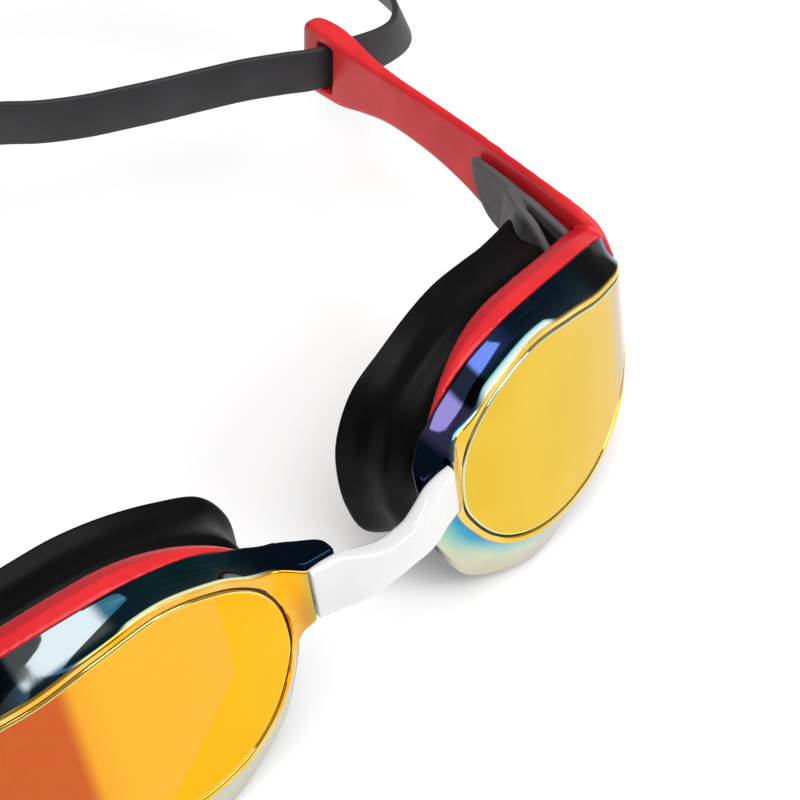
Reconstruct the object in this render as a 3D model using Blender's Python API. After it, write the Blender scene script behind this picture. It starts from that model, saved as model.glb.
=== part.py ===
"""Racing swim goggles: two mirrored eyecups, a nose bridge, flexing arms and one folded strap.

Design points are in millimetres, with x to the wearer's left, y to the back of the head and z up.
Every outline is written for the left eye and mirrored in x for the right eye.
Run with: blender --background --python part.py
"""
import math

import bmesh
import bpy
from mathutils import Matrix, Vector

MM = 0.001                        # design unit in metres
ORIGIN = Vector((0, -8.0, -3.2))  # middle of the nose bridge's flat underside, in design points
GAP = 0.3                         # clearance between two pieces that touch on the real object

# ---- lens pod and lens plate
STEPS = 56                        # points round an eyecup outline
FACE_EDGE = 1.2                   # mirrored edge left round the lens plate
PLATE_THICK = 1.5
LEDGE = 1.6                       # how far the plate's seat reaches in under it
LEDGE_THICK = 0.8
FLANGE_THICK = 1.6                # back flange of the pod, which carries rim and gasket
FLANGE_LAND = 1.8                 # flange left inside the gasket's outline

CUP_MIDDLE = (47.0, -4.0)         # (x, z) towards which the caps of an eyecup close

# ---- red rim and arm
RIM_WALL = 2.0                    # radial thickness of the rim
RIM_DEPTH = 5.7                   # rim's length along y behind the pod
KNUCKLE = (74.0, 22.5)            # arm hinge axis (x, y)
SLOT_Y = (86.8, 91.2)             # strap slot in the arm's end
SLOT_Z = (-1.3, 9.9)

# ---- strap
STRAP_WIDTH = 10.0
STRAP_THICK = 1.4
STRAP_Z = 4.3                     # height of the strap's middle
STRAP_LEAN = 0.5                  # sideways lean of the strap where it bulges out beside the arm
LAYER = 2.0                       # pitch of the strap's layers inside the clip
REAR_Y = 171.0                    # first strap layer inside the clip
CLIP_HALF = 10.0                  # half the clip's length along the strap
CLIP_WALL = 1.4
KEEPER_X = 33.0

# Outlines as (x, z), counter-clockwise seen from the front, from the temple over the top.
FACE_OUTLINE = [(75.3, 1.0), (73.6, 6.6), (68, 8.8), (60.5, 10.8), (51, 14.0), (40, 16.0), (30, 13.4),
                (23, 8.6), (19, 2.0), (18.2, -6.0), (20.2, -11.5), (24.5, -17.0), (30.5, -21.0),
                (38, -23.2), (47, -23.8), (56, -22.8), (64.5, -19.5), (70.5, -14.0), (74.2, -7.0)]
BACK_OUTLINE = [(75.9, 2.0), (74.6, 8.6), (68, 12.2), (59.5, 14.3), (50.5, 15.6), (40.5, 15.8), (30.5, 13.9),
                (22.6, 9.6), (17.2, 3.5), (14.8, -4.5), (14.4, -12.0), (17.0, -18.8), (22.3, -26.6),
                (31, -31.4), (41.5, -31.6), (51.5, -27.2), (62.5, -22.4), (70.5, -16.0), (75.0, -7.5)]
SEAL_OUTLINE = [(66.0, 2.0), (64.4, 8.0), (60.5, 10.8), (55, 12.2), (48.5, 13.1), (40.5, 13.2), (31.8, 11.4),
                (25, 7.8), (19.6, 2.4), (17.2, -5.0), (17.0, -12.0), (19.4, -18.0), (24.4, -23.4),
                (31.6, -27.0), (40, -27.6), (48.5, -24.8), (57, -19.8), (62.6, -13.6), (65.4, -6.0)]

# Back edge of the gasket's lip as (x, y, z), one point for each point of SEAL_OUTLINE.
LIP = [(66.6, 29.4, 2.0), (64.6, 28.4, 6.8), (60.2, 27.2, 8.6), (55, 26.0, 9.8), (48.8, 25.0, 10.8),
       (41.0, 24.0, 11.3), (32.8, 22.2, 11.0), (24.6, 20.4, 9.0), (17.6, 19.4, 5.2), (13.2, 18.6, -1.6),
       (12.0, 17.4, -9.2), (12.6, 15.4, -17.6), (16.0, 13.2, -25.2), (25.0, 12.2, -30.6), (37.0, 13.4, -31.6),
       (48.2, 17.2, -28.4), (57.8, 22.2, -22.0), (63.8, 27.0, -14.4), (66.4, 29.6, -6.0)]


def clear_scene():
    for item in list(bpy.data.objects):
        bpy.data.objects.remove(item, do_unlink=True)


def material(name, colour, roughness, metallic=0.0):
    mat = bpy.data.materials.new(name)
    mat.use_nodes = True
    shader = mat.node_tree.nodes["Principled BSDF"]
    shader.inputs["Base Color"].default_value = (*colour, 1)
    shader.inputs["Roughness"].default_value = roughness
    shader.inputs["Metallic"].default_value = metallic
    return mat


def lerp(a, b, t):
    return a + (b - a) * t


def smooth_step(t):
    t = min(1.0, max(0.0, t))
    return t * t * (3 - 2 * t)


def curve_at(points, at, closed=False):
    """Catmull-Rom curve through points; at counts points, so 2.5 is halfway from 2 to 3."""
    count = len(points)
    k = int(math.floor(at))
    if not closed:
        k = min(max(k, 0), count - 2)
    t = at - k

    def point(i):
        if closed:
            return points[i % count]
        return points[min(max(i, 0), count - 1)]
    a, b, c, d = (point(k + i) for i in (-1, 0, 1, 2))
    return tuple(0.5 * (2 * q + (r - p) * t + (2 * p - 5 * q + 4 * r - s) * t * t
                        + (3 * q - p - 3 * r + s) * t ** 3) for p, q, r, s in zip(a, b, c, d))


def curve(points, per_span):
    spans = len(points) - 1
    return [curve_at(points, i / per_span) for i in range(spans * per_span + 1)]


def outline(points, offset=0.0, first=0.0, last=None, steps=STEPS):
    """Points (x, z) of a closed outline moved outwards by offset; first and last count its points."""
    count = len(points)
    whole = last is None
    last = count if whole else last
    marks = [lerp(first, last, i / (steps if whole else steps - 1)) for i in range(steps)]
    out = []
    for at in marks:
        x, z = curve_at(points, at, closed=True)
        ax, az = curve_at(points, at - 0.05, closed=True)
        bx, bz = curve_at(points, at + 0.05, closed=True)
        tangent = math.hypot(bx - ax, bz - az)
        out.append((x + offset * (bz - az) / tangent, z - offset * (bx - ax) / tangent))
    return out


def face_y(x, z):
    """Front surface of the lens: raked back at the top and wrapped round the temple."""
    reach = x - 47.4
    wrap = 0.045 * max(0.0, x - 68.0) ** 2
    return -3.3 + 0.178 * reach + 0.0052 * reach ** 2 + 0.248 * (z + 2.3) + wrap


def seat_y(x, z):
    """Back surface of the pod, on which the rim and the gasket sit."""
    u = (x - 42.0) / 30.0
    drop = 8.0 - z
    nasal = 2.8 * smooth_step((38.0 - x) / 16.0) * smooth_step((-4.0 - z) / 10.0)
    rise = 7.2 + 3.3 * u + 1.15 * u * u + 1.4 * u ** 3
    return rise - 0.19 * (drop + math.sqrt(drop * drop + 9.0)) + nasal


def world(point, side=1):
    x, y, z = point
    return (Vector((side * x, y, z)) - Vector((0, ORIGIN.y, ORIGIN.z))) * MM


def loft(name, mat, rings, side=1, closed=False, axis=None):
    """Solid through rings of equal length. closed joins the last ring to the first, else both ends
    are capped. axis is a design point for the object's origin."""
    mesh = bpy.data.meshes.new(name)
    bm = bmesh.new()
    verts = [[bm.verts.new(world(p, side)) for p in ring] for ring in rings]
    count = len(rings[0])
    pairs = list(zip(verts, verts[1:] + verts[:1])) if closed else list(zip(verts, verts[1:]))
    for low, high in pairs:
        for i in range(count):
            j = (i + 1) % count
            bm.faces.new((low[i], low[j], high[j], high[i]))
    if not closed:
        bm.faces.new(verts[0])
        bm.faces.new(verts[-1])
    bmesh.ops.recalc_face_normals(bm, faces=bm.faces)
    if bm.calc_volume(signed=True) < 0:
        bmesh.ops.reverse_faces(bm, faces=bm.faces)
    bm.to_mesh(mesh)
    bm.free()
    mesh.materials.append(mat)
    obj = bpy.data.objects.new(name, mesh)
    bpy.context.scene.collection.objects.link(obj)
    if axis:
        centre = world(axis, side)
        mesh.transform(Matrix.Translation(-centre))
        obj.location = centre
    mesh.shade_smooth()
    mesh.set_sharp_from_angle(angle=math.radians(35))
    return obj


def boolean(obj, cutter, operation):
    """Applies one exact Boolean to obj and removes the cutter."""
    mod = obj.modifiers.new(operation.lower(), "BOOLEAN")
    mod.operation = operation
    mod.solver = "EXACT"
    mod.object = cutter
    bpy.context.view_layer.update()
    graph = bpy.context.evaluated_depsgraph_get()
    mesh = bpy.data.meshes.new_from_object(obj.evaluated_get(graph))
    obj.modifiers.clear()
    obj.data = mesh
    mesh.name = obj.name
    bpy.data.objects.remove(cutter, do_unlink=True)
    mesh.shade_smooth()
    mesh.set_sharp_from_angle(angle=math.radians(35))


def box_ring(y_front, y_back, z_low, z_high, x, bevel=0.7, lean=0.0, back_lean=None):
    """Bevelled rectangle in the plane x; lean shifts the front edge in y with height."""
    middle = 0.5 * (z_low + z_high)
    back_lean = lean if back_lean is None else back_lean
    corners = [(y_front, z_low + bevel), (y_front, z_high - bevel), (y_front + bevel, z_high),
               (y_back - bevel, z_high), (y_back, z_high - bevel), (y_back, z_low + bevel),
               (y_back - bevel, z_low), (y_front + bevel, z_low)]
    centre = 0.5 * (y_front + y_back)
    return [(x, y + (lean if y < centre else back_lean) * (z - middle), z) for y, z in corners]


def plate_ring(y, x_out, x_in, z_low, z_high, bevel=0.5, turn=0.0):
    """Bevelled upright plate section across y; turn slides the inner side along y."""
    corners = [(x_out, z_low + bevel), (x_out, z_high - bevel), (x_out - bevel, z_high), (x_in + bevel, z_high),
               (x_in, z_high - bevel), (x_in, z_low + bevel), (x_in + bevel, z_low), (x_out - bevel, z_low)]
    return [(x, y + turn * (x_out - x), z) for x, z in corners]


def cylinder(name, centre, radius, y_from, y_to, side, steps=20):
    rings = []
    for y in (y_from, y_to):
        rings.append([(centre[0] + radius * math.cos(math.tau * i / steps), y,
                       centre[1] + radius * math.sin(math.tau * i / steps)) for i in range(steps)])
    return loft(name, None, rings, side)


# ---- eyecup pieces

def face_ring(offset, depth):
    return [(x, face_y(x, z) + depth, z) for x, z in outline(FACE_OUTLINE, offset)]


def seat_ring(points, offset, depth):
    return [(x, seat_y(x, z) + depth, z) for x, z in outline(points, offset)]


def shrunk(ring, scale, surface, depth=0.0):
    """A ring scaled towards the eyecup's middle and laid on a surface."""
    points = [(lerp(CUP_MIDDLE[0], x, scale), lerp(CUP_MIDDLE[1], z, scale)) for x, y, z in ring]
    return [(x, surface(x, z) + depth, z) for x, z in points]


def flat_ring(ring, y):
    return [(x, y, z) for x, old, z in ring]


def lens_pod(side, label, mat):
    """Mirrored housing: side walls, back flange, a seat for the lens plate and the nose lug."""
    face = face_ring(0, 0)
    back = seat_ring(BACK_OUTLINE, 0, 0)
    middle = [tuple(0.5 * (a + b) for a, b in zip(p, q)) for p, q in zip(face, back)]
    front_cap = [shrunk(face_ring(0, 0), scale, face_y) for scale in (0.15, 0.6)]
    back_cap = [shrunk(seat_ring(SEAL_OUTLINE, 0, 0), scale, seat_y) for scale in (0.55, 0.15)]
    outer = loft("lens_pod_" + label, mat, [
        *front_cap, face_ring(-FACE_EDGE - 0.1, 0), face, middle, back,
        seat_ring(BACK_OUTLINE, 0.1 - RIM_WALL, 0), seat_ring(SEAL_OUTLINE, 0, 0),
        seat_ring(SEAL_OUTLINE, 0.1 - FLANGE_LAND, 0), *back_cap], side)
    lug = loft("lug", mat, lug_rings(), side)
    boolean(lug, cylinder("peg_hole", PEG, PEG_RADIUS + 0.4, -9, PEG_END + 0.5, side), "DIFFERENCE")
    boolean(outer, lug, "UNION")
    ledge = -FACE_EDGE - LEDGE
    cavity_rings = [flat_ring(face_ring(-FACE_EDGE, 0), -40), face_ring(-FACE_EDGE, PLATE_THICK + GAP),
                    face_ring(ledge, PLATE_THICK + GAP), face_ring(ledge, PLATE_THICK + GAP + LEDGE_THICK),
                    seat_ring(SEAL_OUTLINE, -FLANGE_LAND, -FLANGE_THICK),
                    flat_ring(seat_ring(SEAL_OUTLINE, -FLANGE_LAND, 0), 60)]
    boolean(outer, loft("cavity", mat, cavity_rings, side), "DIFFERENCE")
    return outer


PEG = (12.3, 2.8)                 # bridge peg's middle (x, z)
PEG_RADIUS = 1.5
PEG_END = -3.0                    # y of the peg's tip


def lug_rings():
    """Nose lug from inside the pod's wall to its tip, lapped behind the bridge's end."""
    stations = [(25.0, -2.6, 1.2, -8.0, 8.6), (21.5, -3.4, 1.4, -7.6, 8.4), (18.3, -4.9, 1.6, -5.0, 7.9),
                (16.6, -5.7, 1.6, -3.0, 7.7), (15.9, -6.1, 1.5, -2.2, 7.6), (15.8, -4.5, 1.4, -2.1, 7.6),
                (13.0, -4.9, -0.5, -1.9, 7.5), (10.6, -5.1, -2.1, -1.8, 7.4), (9.8, -5.2, -3.2, -1.7, 7.3)]
    return [box_ring(front, back, low, high, x, 0.6, 0.22, 0.32) for x, front, back, low, high in stations]


def lens_plate(side, label, mat):
    """Curved optical plate that fills the pod's front, flush with its face."""
    edge = face_ring(-FACE_EDGE - GAP, 0)
    scales = (1.0, 0.93, 0.72, 0.4, 0.12)
    rings = [shrunk(edge, scale, face_y) for scale in reversed(scales)]
    rings += [shrunk(edge, scale, face_y, PLATE_THICK) for scale in scales]
    return loft("lens_plate_" + label, mat, rings, side)


def gasket(side, label, mat):
    """Soft face seal: a collar on the pod's flange, a waist and a flared lip."""
    def ring(offset, share, extra=0.0):
        out = []
        for i, (x, z) in enumerate(outline(SEAL_OUTLINE, 0)):
            lip = curve_at(LIP, i * len(LIP) / STEPS, closed=True)
            base = (x, seat_y(x, z) + GAP, z)
            point = [lerp(p, q, share) for p, q in zip(base, lip)]
            away = math.hypot(x - CUP_MIDDLE[0], z - CUP_MIDDLE[1])
            point[0] += offset * (x - CUP_MIDDLE[0]) / away
            point[2] += offset * (z - CUP_MIDDLE[1]) / away
            if share == 0:
                point[1] = seat_y(point[0], point[2]) + GAP
            out.append((point[0], point[1] + extra, point[2]))
        return out
    rings = [ring(-0.2, 0), ring(-1.1, 0.3), ring(-1.5, 0.55), ring(-0.9, 0.8), ring(-0.1, 0.95), ring(-0.4, 1.0),
             ring(-3.4, 1.0, -0.2), ring(-4.0, 1.0, -1.4), ring(-2.8, 0.82, -0.4), ring(-3.2, 0.55),
             ring(-2.8, 0.3), ring(-1.7, 0)]
    return loft("gasket_" + label, mat, rings, side, closed=True)


RIM_FIRST = 8.15                  # rim's lower temple end and nose tip, counted in BACK_OUTLINE's points
RIM_LAST = -3.2


def rim(side, label, mat):
    """Red rim: tapers to a point by the nose, runs over the top and hooks under the temple."""
    steps = 44
    outer = outline(BACK_OUTLINE, 0, RIM_FIRST - 0.35, RIM_LAST, steps)
    inner = outline(BACK_OUTLINE, -RIM_WALL, RIM_FIRST - 0.35, RIM_LAST, steps)
    rings = []
    for i, (out, inn) in enumerate(zip(outer, inner)):
        along = i / (steps - 1)
        taper = lerp(0.22, 1.0, smooth_step(along / 0.25)) * lerp(1.0, 0.45, smooth_step((along - 0.86) / 0.14))
        depth = RIM_DEPTH * taper
        inn = tuple(lerp(a, b, max(0.45, taper)) for a, b in zip(out, inn))
        crease = tuple(lerp(a, b, 0.12) for a, b in zip(out, inn))
        low = tuple(lerp(a, b, 0.62) for a, b in zip(out, inn))
        front = seat_y(*out) + GAP
        rings.append([(out[0], front, out[1]), (crease[0], front + 0.42 * depth, crease[1]),
                      (low[0], front + depth, low[1]), (inn[0], front + 0.97 * depth, inn[1]),
                      (inn[0], seat_y(*inn) + GAP, inn[1])])
    body = loft("rim_" + label, mat, rings, side)
    boolean(body, loft("neck", mat, neck_rings(), side), "UNION")
    return body


NECK_HALF = 1.25                  # half the arm's thickness at the knuckle
NECK_LOW, NECK_HIGH = -7.0, 11.8


def neck_rings():
    """Upright plate from the rim's temple to the hollow half of the knuckle."""
    x, y = KNUCKLE
    end = y - NECK_HALF - 0.65
    rings = []
    for at_y, x_out, x_in, high in ((13.4, 74.6, 72.2, 8.4), (15.6, 74.9, 72.3, 10.2), (18.0, 75.0, 72.4, 11.2),
                                    (end, x + 1.4, x - 1.4, NECK_HIGH)):
        rings.append(plate_ring(at_y, x_out, x_in, NECK_LOW, high, 0.7))
    return rings


def arm(side, label, mat):
    """Flexing arm: rounded knuckle, deep root, slim waist and a flared end with the strap slot."""
    x, y = KNUCKLE
    rings = []
    for angle in (88, 62, 35):
        half = NECK_HALF * math.cos(math.radians(angle))
        rings.append(plate_ring(y - NECK_HALF * math.sin(math.radians(angle)), x + half, x - half,
                                NECK_LOW, NECK_HIGH, min(0.5, half * 0.6)))
    # y, outer x, inner x, lowest z, highest z
    stations = [(22.5, 75.25, 72.75, -7.0, 11.8), (28, 75.7, 73.1, -5.9, 12.0), (34, 76.2, 73.7, -4.2, 12.1),
                (41, 76.7, 74.2, -2.4, 12.2), (48, 77.2, 74.7, -0.4, 12.3), (56, 77.7, 75.1, 1.0, 12.3),
                (64, 78.2, 75.5, 1.4, 12.2), (71, 78.7, 75.9, 0.9, 12.1), (78, 79.7, 76.2, -0.9, 12.0),
                (84, 81.1, 76.5, -2.9, 12.1), (89, 81.9, 76.8, -3.6, 12.2), (93.5, 81.6, 76.8, -3.6, 12.2),
                (95.6, 80.9, 77.2, -3.0, 11.7), (96.2, 79.9, 77.9, -2.2, 11.0)]
    rings += [plate_ring(*station) for station in stations]
    body = loft("arm_" + label, mat, rings, side, axis=(x, y, 2.6))
    slot = loft("slot", mat, [plate_ring(SLOT_Y[0], 90, 70, *SLOT_Z, 0.8),
                              plate_ring(SLOT_Y[1], 90, 70, *SLOT_Z, 0.8)], side)
    boolean(body, slot, "DIFFERENCE")
    return body


def lining(side, label, mat):
    """Soft web: a tongue on the arm's inner face, forked round an open triangle to the gasket."""
    outer = [(45.2, 74.1, 73.2, 6.6, 8.4), (43.5, 74.0, 72.8, 2.6, 9.0), (39.0, 73.7, 72.4, -2.4, 9.2),
             (33.0, 73.2, 71.8, -3.8, 9.2), (27.5, 72.6, 71.2, -4.4, 9.0), (21.0, 71.9, 70.8, -4.4, 8.4),
             (18.2, 71.6, 70.8, -4.2, 8.0)]
    body = loft("lining_" + label, mat, [plate_ring(*row, 0.3) for row in outer], side)
    route = curve([(71.9, 33.5), (70.3, 29.5), (69.3, 25.5), (67.8, 22.0), (66.4, 18.6), (65.9, 16.2)], 3)
    rings = []
    for i, (x, y) in enumerate(route):
        along = i / (len(route) - 1)
        rings.append(plate_ring(y, x + 0.7, x - 0.7, lerp(-3.4, -4.6, along), lerp(9.0, 6.4, along), 0.3, 0.35))
    boolean(body, loft("prong", mat, rings, side), "UNION")
    return body


# ---- pieces on the middle plane

def nose_bridge(mat):
    """Bridge with a lapped end and a peg for each pod's lug."""
    # x, front y, back y, lowest z, highest z, lean of the front
    half = [(15.5, -6.2, -4.95, -1.9, 7.9, 0.22), (15.0, -6.45, -4.95, -2.0, 8.2, 0.22),
            (12.0, -7.4, -5.4, -2.3, 8.3, 0.22), (9.0, -8.5, -5.6, -2.6, 7.8, 0.22),
            (6.0, -9.4, -5.9, -3.0, 6.8, 0.1), (3.0, -9.9, -6.3, -3.2, 6.0, 0.0)]
    middle = (0.0, -10.0, -6.4, -3.2, 5.8, 0.0)
    stations = half + [middle] + [(-row[0], *row[1:]) for row in reversed(half)]
    rings = [box_ring(front, back, low, high, x, 0.5 if abs(x) > 14 else 0.8, lean)
             for x, front, back, low, high, lean in stations]
    body = loft("nose_bridge", mat, rings)
    for side in (1, -1):
        boolean(body, cylinder("peg", PEG, PEG_RADIUS, -6.4, PEG_END, side), "UNION")
    return body


INNER_RUN = [(0.0, 125.8), (5.0, 125.2), (11.0, 122.8), (17.6, 118.4), (23.5, 113.6), (31.0, 109.2),
             (38.5, 106.0), (46.0, 103.0), (54.0, 100.1), (62.0, 97.0), (69.5, 93.2), (75.0, 90.2)]
OUTER_RUN = [(83.2, 88.0), (90.0, 86.6), (96.6, 87.4), (101.4, 91.6), (104.4, 99.0), (106.0, 110.0),
             (105.0, 124.0), (98.6, 139.0), (86.0, 152.6), (68.0, 162.8), (48.0, 168.6), (30.0, 170.7)]


def strap_route():
    """Middle line (x, y): one tail, through the clip, round both slots, and back to the other tail."""
    second = REAR_Y + LAYER
    near = OUTER_RUN + [(14.0, REAR_Y), (5.0, REAR_Y)]
    far = [(-x, y + LAYER * smooth_step((y - 141.0) / 24.0)) for x, y in OUTER_RUN]
    tail_in = [(-46.0, 168.9), (-38.0, 170.0), (-30.0, 170.7), (-22.0, 170.95), (-14.0, REAR_Y), (-5.0, REAR_Y)]
    tail_out = [(-14.0, second), (-5.0, second), (5.0, second), (14.0, second), (22.0, second - 0.05),
                (30.0, second - 0.3), (38.0, second - 1.0), (46.0, second - 2.1)]
    return tail_in + near[::-1] + INNER_RUN[::-1] + [(-x, y) for x, y in INNER_RUN[1:]] + far + tail_out


def band_rings(route, width, thick, middle):
    """Upright strips across the route; their lower edge leans outwards beside the arms."""
    rings = []
    for i, (x, y) in enumerate(route):
        ahead = route[min(i + 1, len(route) - 1)]
        behind = route[max(i - 1, 0)]
        run = math.hypot(ahead[0] - behind[0], ahead[1] - behind[1])
        nx, ny = -(ahead[1] - behind[1]) / run * thick / 2, (ahead[0] - behind[0]) / run * thick / 2
        bulge = smooth_step((abs(x) - 88.0) / 12.0) * smooth_step((135.0 - y) / 25.0)
        lean = math.copysign(STRAP_LEAN * bulge * width / 2, x)
        corners = ((1, -1), (1, 1), (-1, 1), (-1, -1))
        rings.append([(x + a * nx - b * lean, y + a * ny, middle + b * width / 2) for a, b in corners])
    return rings


def strap(mat):
    route = curve(strap_route(), 3)
    return loft("strap", mat, band_rings(route, STRAP_WIDTH, STRAP_THICK, STRAP_Z))


def clip_pieces(mat, cover_mat):
    """Back clip: a channel that holds two layers of strap, closed by a snap-on cover."""
    low_y = REAR_Y - STRAP_THICK / 2 - 0.3
    high_y = REAR_Y + LAYER + STRAP_THICK / 2 + 0.3
    low_z, high_z = STRAP_Z - STRAP_WIDTH / 2 - 0.3, STRAP_Z + STRAP_WIDTH / 2 + 0.3
    wall = CLIP_WALL
    section = [(low_y - wall, low_z - wall), (low_y - wall, high_z + wall), (high_y, high_z + wall),
               (high_y, high_z), (low_y, high_z), (low_y, low_z), (high_y, low_z), (high_y, low_z - wall)]
    channel = loft("clip_body", mat, [[(x, y, z) for y, z in section] for x in (-CLIP_HALF, CLIP_HALF)])
    inset = CLIP_HALF - 0.6
    back = high_y + GAP
    cover = loft("clip_cover", cover_mat, [
        [(x, y, z) for x, z in ((-CLIP_HALF + cut, low_z - wall + cut), (CLIP_HALF - cut, low_z - wall + cut),
                                (CLIP_HALF - cut, high_z + wall - cut), (-CLIP_HALF + cut, high_z + wall - cut))]
        for y, cut in ((back, 0.0), (back + 1.0, 0.0), (back + 1.6, CLIP_HALF - inset))])
    return channel, cover


def keeper(side, label, mat):
    """Soft loop that holds a strap tail against its run."""
    slope = -0.11
    half_thick, half_wide = 2.4, STRAP_WIDTH / 2 + 0.5
    wall, half_long = 1.1, 3.0
    middle = REAR_Y + LAYER / 2 - 0.65

    def frame(offset_y, offset_z, along):
        return (KEEPER_X + along - offset_y * slope, middle + along * slope + offset_y, STRAP_Z + offset_z)
    rings = []
    for grow, along in ((0, -half_long), (wall, -half_long), (wall, half_long), (0, half_long)):
        rings.append([frame(sy * (half_thick + grow), sz * (half_wide + grow), along)
                      for sy, sz in ((-1, -1), (1, -1), (1, 1), (-1, 1))])
    return loft("strap_keeper_" + label, mat, rings, side, closed=True)


def main():
    clear_scene()
    mirror = material("mirror_coat", (0.05, 0.12, 0.16), 0.08, 0.9)
    gold = material("mirror_gold", (0.93, 0.72, 0.2), 0.1, 0.9)
    red = material("red_plastic", (0.82, 0.04, 0.05), 0.35)
    grey = material("grey_rubber", (0.16, 0.16, 0.17), 0.6)
    black = material("black_rubber", (0.02, 0.02, 0.022), 0.45)
    white = material("white_plastic", (0.85, 0.85, 0.88), 0.25)
    silicone = material("strap_silicone", (0.045, 0.045, 0.05), 0.6)
    dark = material("clip_plastic", (0.03, 0.03, 0.033), 0.35)
    for side, label in ((1, "left"), (-1, "right")):
        lens_pod(side, label, mirror)
        lens_plate(side, label, gold)
        gasket(side, label, black)
        rim(side, label, red)
        arm(side, label, red)
        lining(side, label, grey)
        keeper(side, label, silicone)
    nose_bridge(white)
    strap(silicone)
    clip_pieces(dark, dark)


main()
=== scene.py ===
"""Looks of the racing swim goggles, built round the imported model.

Design points are millimetres, with x to the wearer's left, y to the back of the head and z up, as in
the part's own script. The left eyecup is built once, and mirrored in x for the right one.
"""
import math

import bmesh
import bpy
import numpy as np
from mathutils import Matrix, Vector

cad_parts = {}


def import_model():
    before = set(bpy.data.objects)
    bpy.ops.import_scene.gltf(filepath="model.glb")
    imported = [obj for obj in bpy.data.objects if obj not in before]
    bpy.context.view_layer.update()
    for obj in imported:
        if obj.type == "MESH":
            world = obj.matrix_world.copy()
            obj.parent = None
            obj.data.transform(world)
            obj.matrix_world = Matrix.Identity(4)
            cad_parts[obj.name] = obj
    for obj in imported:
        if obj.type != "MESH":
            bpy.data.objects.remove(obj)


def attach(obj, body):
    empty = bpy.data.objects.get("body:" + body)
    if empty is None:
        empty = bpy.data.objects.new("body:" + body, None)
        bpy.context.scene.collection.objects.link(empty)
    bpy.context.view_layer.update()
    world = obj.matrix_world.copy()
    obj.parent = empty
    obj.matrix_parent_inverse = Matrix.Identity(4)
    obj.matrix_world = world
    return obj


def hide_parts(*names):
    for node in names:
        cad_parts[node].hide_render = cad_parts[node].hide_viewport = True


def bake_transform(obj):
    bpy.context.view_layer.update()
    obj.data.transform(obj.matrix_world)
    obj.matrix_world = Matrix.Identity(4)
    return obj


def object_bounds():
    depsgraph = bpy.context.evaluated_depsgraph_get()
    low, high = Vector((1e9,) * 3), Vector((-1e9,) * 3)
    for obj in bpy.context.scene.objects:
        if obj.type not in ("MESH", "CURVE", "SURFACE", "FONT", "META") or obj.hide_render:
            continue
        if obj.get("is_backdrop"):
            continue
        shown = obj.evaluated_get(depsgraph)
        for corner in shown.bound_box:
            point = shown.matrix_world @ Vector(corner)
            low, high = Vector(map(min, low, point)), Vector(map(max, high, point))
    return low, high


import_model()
cad_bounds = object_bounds()

MM = 0.001
ORIGIN = np.array([0.0, -8.0, -3.2])

# ---- outlines (x, z), counter-clockwise seen from the front, from the temple over the top
FACE_OUTLINE = [(75.3, 1.0), (73.6, 6.6), (68, 8.8), (60.5, 10.8), (51, 14.0), (40, 16.0), (30, 13.4),
                (23, 8.6), (19, 2.0), (18.2, -6.0), (20.2, -11.5), (24.5, -17.0), (30.5, -21.0),
                (38, -23.2), (47, -23.8), (56, -22.8), (64.5, -19.5), (70.5, -14.0), (74.2, -7.0)]
BACK_OUTLINE = [(75.9, 2.0), (74.6, 8.6), (68, 12.2), (59.5, 14.3), (50.5, 15.6), (40.5, 15.8), (30.5, 13.9),
                (22.6, 9.6), (17.2, 3.5), (14.8, -4.5), (14.4, -12.0), (17.0, -18.8), (22.3, -26.6),
                (31, -30.3), (41.5, -30.9), (50.4, -28.3), (61.8, -22.6), (70.5, -16.0), (75.0, -7.5)]
SEAL_OUTLINE = [(66.0, 2.0), (64.4, 8.0), (60.5, 10.8), (55, 12.2), (48.5, 13.1), (40.5, 13.2), (31.8, 11.4),
                (25, 7.8), (19.6, 2.4), (17.2, -5.0), (17.0, -12.0), (19.4, -18.0), (24.4, -23.4),
                (31.6, -27.0), (40, -27.6), (48.5, -24.8), (57, -19.8), (62.6, -13.6), (65.4, -6.0)]
# Back edge of the gasket's lip (x, y, z), one point for each point of SEAL_OUTLINE.
LIP = [(68.0, 29.8, 3.0), (66.9, 29.3, 7.4), (61.0, 27.4, 9.0), (55, 26.0, 9.8), (48.8, 25.0, 10.8),
       (41.0, 24.0, 11.3), (32.8, 22.2, 11.0), (24.4, 20.4, 9.0), (16.8, 19.5, 4.9), (12.5, 18.4, -1.9),
       (11.4, 17.3, -9.2), (12.0, 15.3, -17.6), (15.4, 13.2, -25.4), (25.0, 12.2, -30.6), (37.0, 13.4, -31.6),
       (48.2, 17.2, -28.4), (57.8, 22.2, -22.0), (63.8, 27.0, -14.4), (66.4, 29.6, -6.0)]
CUP_MIDDLE = (47.0, -4.0)
CORNERS = len(FACE_OUTLINE)                   # points of each outline

# Where the pod's outline leaves the eyecup for the nose lug, counted in outline points.
LUG_LOW, LUG_HIGH = 8.75, 26.6
LUG_MARKS = (8.75, 9.1, 9.5, 10.0)            # below the lug, up to outline point 10
LUG_MARKS_TOP = (25.0, 25.8, 26.3, 26.6)      # over the top, from outline point 6
FACE_LUG = [(15.9, -2.2), (16.9, -4.4), (18.2, -7.8)]
FACE_LUG_TOP = [(23.9, 9.8), (19.6, 8.2), (15.9, 7.6)]
BACK_LUG = [(15.9, -2.2), (15.2, -4.8), (14.8, -7.8)]
BACK_LUG_TOP = [(23.6, 10.4), (19.4, 8.6), (15.9, 7.6)]
LUG_MIDDLE_Z = 2.7
PLATE_EDGE = -1.2                             # plate's outline, inside the face's outline
PLATE_RECESS, LEDGE_WIDTH = 1.8, 1.6          # seat of the plate in the pod
FLANGE_LAND = 1.8                             # back flange, inside the seal's outline

AROUND = 220                                  # points round an eyecup
LUG_END_POINTS = 14                           # of them more, across the lug's end


def lerp(a, b, t):
    return a + (b - a) * t


def smooth_step(t):
    t = np.clip(t, 0.0, 1.0)
    return t * t * (3 - 2 * t)


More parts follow.
